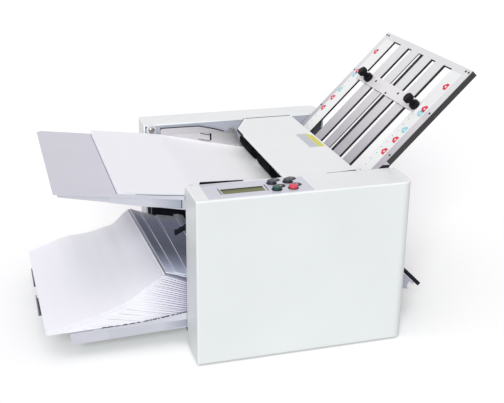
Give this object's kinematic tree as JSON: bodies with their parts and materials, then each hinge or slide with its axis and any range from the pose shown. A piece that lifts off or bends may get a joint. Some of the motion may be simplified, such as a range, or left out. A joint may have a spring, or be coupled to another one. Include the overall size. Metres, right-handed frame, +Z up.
{
  "type": "paper folding machine",
  "caption": "Desk paper folding machine with a sloping feed table, a hinged lid over the feed roller, a slotted upper fold plate with a sliding stop and a delivery tray.",
  "frame": {"origin": "on the surface that the machine stands on, below the middle of its overall reach", "axes": "+X in the feed direction, towards the fold plates; +Y away from the operator's side with the control panel; +Z up"},
  "size_m": [0.6124, 0.3982, 0.3682],
  "materials": {
    "white_paint": "satin off-white paint",
    "grey_paint": "satin lavender-grey paint",
    "frame_steel": "dull plated steel",
    "bright_steel": "ground steel",
    "chrome": "polished",
    "black_plastic": "moulded",
    "dark_metal": "satin black paint",
    "panel_sheet": "pale grey, smooth",
    "screen": "dark olive liquid crystal window",
    "button_dark": "moulded",
    "button_green": "moulded",
    "button_red": "moulded",
    "rubber": "matt",
    "board": "glass fibre board",
    "plate_metal": "satin",
    "gear_plastic": "acetal",
    "brass": "turned",
    "paper": "plain paper",
    "loose_paper": "plain paper, loosely piled"
  },
  "bodies": {
    "machine": {"front_cover": "white_paint", "rear_cover": "white_paint", "base_plate": "frame_steel", "rubber_feet": "rubber", "front_side_frame": "frame_steel", "rear_side_frame": "frame_steel", "tie_rods": "bright_steel", "frame_screws": "bright_steel", "control_panel": "panel_sheet", "display": "screen", "control_board": "board", "lid_hinge_pin": "bright_steel", "feed_table": "grey_paint", "table_screws": "chrome", "feed_ramp": "bright_steel", "side_guides": "plate_metal", "feed_paper": "paper", "separator_block": "black_plastic", "drive_motor": "dark_metal", "shaft_bushes": "brass", "drive_belts": "rubber", "upper_plate_face": "plate_metal", "upper_plate_back": "plate_metal", "upper_plate_rails": "dark_metal", "plate_rod": "chrome", "plate_screws": "dark_metal", "support_studs": "bright_steel", "lower_plate_sheets": "bright_steel", "lower_plate_frame": "dark_metal", "paper_guides": "bright_steel", "inner_liners": "dark_metal", "exit_tray": "grey_paint", "folded_sheets": "loose_paper", "power_inlet": "black_plastic", "power_supply": "frame_steel"},
    "lid": {"top_lid": "white_paint"},
    "back_button": {"button_back": "button_dark"},
    "next_button": {"button_next": "button_dark"},
    "start_button": {"button_start": "button_green"},
    "stop_button": {"button_stop": "button_red"},
    "mains_switch": {"power_switch": "button_dark"},
    "feed_drum": {"feed_shaft": "bright_steel", "feed_rollers": "rubber"},
    "roller_1": {"fold_roller_1": "bright_steel", "roller_gear_1": "gear_plastic"},
    "roller_2": {"fold_roller_2": "bright_steel", "roller_gear_2": "gear_plastic"},
    "roller_3": {"fold_roller_3": "bright_steel", "roller_gear_3": "gear_plastic"},
    "roller_4": {"fold_roller_4": "bright_steel", "roller_gear_4": "gear_plastic"},
    "pinion": {"motor_pinion": "brass"},
    "exit_drum": {"exit_roller": "rubber"},
    "exit_wheels": {"exit_idler": "black_plastic"},
    "plate_stop": {"stop_bar": "plate_metal"},
    "front_knob": {"stop_knob_front": "black_plastic"},
    "rear_knob": {"stop_knob_rear": "black_plastic"},
    "inner_stop": {"lower_stop": "bright_steel"},
    "arm": {"stacker_arm": "black_plastic"},
    "extension": {"tray_extension": "dark_metal"}
  },
  "joints": [
    {"name": "lid_hinge", "type": "hinge", "parent": "machine", "child": "lid", "pos_m": [0.1283, 0.00535, 0.2255], "axis": [0, 1, 0], "range_deg": [0, 90]},
    {"name": "back_press", "type": "slide", "parent": "machine", "child": "back_button", "axis": [0, 0, -1], "range_m": [0, 0.0012], "stiffness_N_per_m": 300, "springref_m": -0.0006},
    {"name": "next_press", "type": "slide", "parent": "machine", "child": "next_button", "axis": [0, 0, -1], "range_m": [0, 0.0012], "stiffness_N_per_m": 300, "springref_m": -0.0006},
    {"name": "start_press", "type": "slide", "parent": "machine", "child": "start_button", "axis": [0, 0, -1], "range_m": [0, 0.0012], "stiffness_N_per_m": 300, "springref_m": -0.0006},
    {"name": "stop_press", "type": "slide", "parent": "machine", "child": "stop_button", "axis": [0, 0, -1], "range_m": [0, 0.0012], "stiffness_N_per_m": 300, "springref_m": -0.0006},
    {"name": "switch_rock", "type": "hinge", "parent": "machine", "child": "mains_switch", "pos_m": [-0.0288, 0.1951, 0.0493], "axis": [1, 0, 0], "range_deg": [0, 16]},
    {"name": "roller_2_spin", "type": "hinge", "parent": "machine", "child": "roller_2", "pos_m": [0.1165, 0.00535, 0.156], "axis": [0, 1, 0], "continuous": true},
    {"name": "roller_1_spin", "type": "hinge", "parent": "machine", "child": "roller_1", "pos_m": [0.1015, 0.00535, 0.18198], "axis": [0, 1, 0], "continuous": true},
    {"name": "roller_3_spin", "type": "hinge", "parent": "machine", "child": "roller_3", "pos_m": [0.13771, 0.00535, 0.17721], "axis": [0, 1, 0], "continuous": true},
    {"name": "roller_4_spin", "type": "hinge", "parent": "machine", "child": "roller_4", "pos_m": [0.13771, 0.00535, 0.13479], "axis": [0, 1, 0], "continuous": true},
    {"name": "pinion_spin", "type": "hinge", "parent": "machine", "child": "pinion", "pos_m": [0.09395, 0.00535, 0.14779], "axis": [0, 1, 0], "continuous": true},
    {"name": "feed_spin", "type": "hinge", "parent": "machine", "child": "feed_drum", "pos_m": [0.0592, 0.00535, 0.207], "axis": [0, 1, 0], "continuous": true},
    {"name": "exit_spin", "type": "hinge", "parent": "machine", "child": "exit_drum", "pos_m": [0.0007, 0.00535, 0.087], "axis": [0, 1, 0], "continuous": true},
    {"name": "exit_wheel_spin", "type": "hinge", "parent": "machine", "child": "exit_wheels", "pos_m": [0.0007, 0.00535, 0.1074], "axis": [0, 1, 0], "continuous": true},
    {"name": "plate_stop_slide", "type": "slide", "parent": "machine", "child": "plate_stop", "axis": [0.7071, 0, 0.7071], "range_m": [-0.085, 0.06]},
    {"name": "front_knob_turn", "type": "hinge", "parent": "plate_stop", "child": "front_knob", "pos_m": [0.24138, -0.09205, 0.30902], "axis": [-0.7071, 0, 0.7071], "range_deg": [-180, 180]},
    {"name": "rear_knob_turn", "type": "hinge", "parent": "plate_stop", "child": "rear_knob", "pos_m": [0.24138, 0.07495, 0.30902], "axis": [-0.7071, 0, 0.7071], "range_deg": [-180, 180]},
    {"name": "lower_stop_slide", "type": "slide", "parent": "machine", "child": "inner_stop", "axis": [0.7071, 0, -0.7071], "range_m": [-0.045, 0.035]},
    {"name": "arm_lift", "type": "hinge", "parent": "machine", "child": "arm", "pos_m": [-0.0453, -0.0461, 0.16], "axis": [0, 1, 0], "range_deg": [0, 30]},
    {"name": "extension_slide", "type": "slide", "parent": "machine", "child": "extension", "axis": [-0.9995, 0, -0.0312], "range_m": [0, 0.06]}
  ],
  "couplings": [
    {"joint": "roller_1_spin", "follows": "roller_2_spin", "ratio": -1},
    {"joint": "roller_3_spin", "follows": "roller_2_spin", "ratio": -1},
    {"joint": "roller_4_spin", "follows": "roller_2_spin", "ratio": -1},
    {"joint": "pinion_spin", "follows": "roller_2_spin", "ratio": -1.6667},
    {"joint": "feed_spin", "follows": "roller_2_spin", "ratio": -1},
    {"joint": "exit_spin", "follows": "roller_2_spin", "ratio": -1},
    {"joint": "exit_wheel_spin", "follows": "roller_2_spin", "ratio": 0.66667}
  ]
}
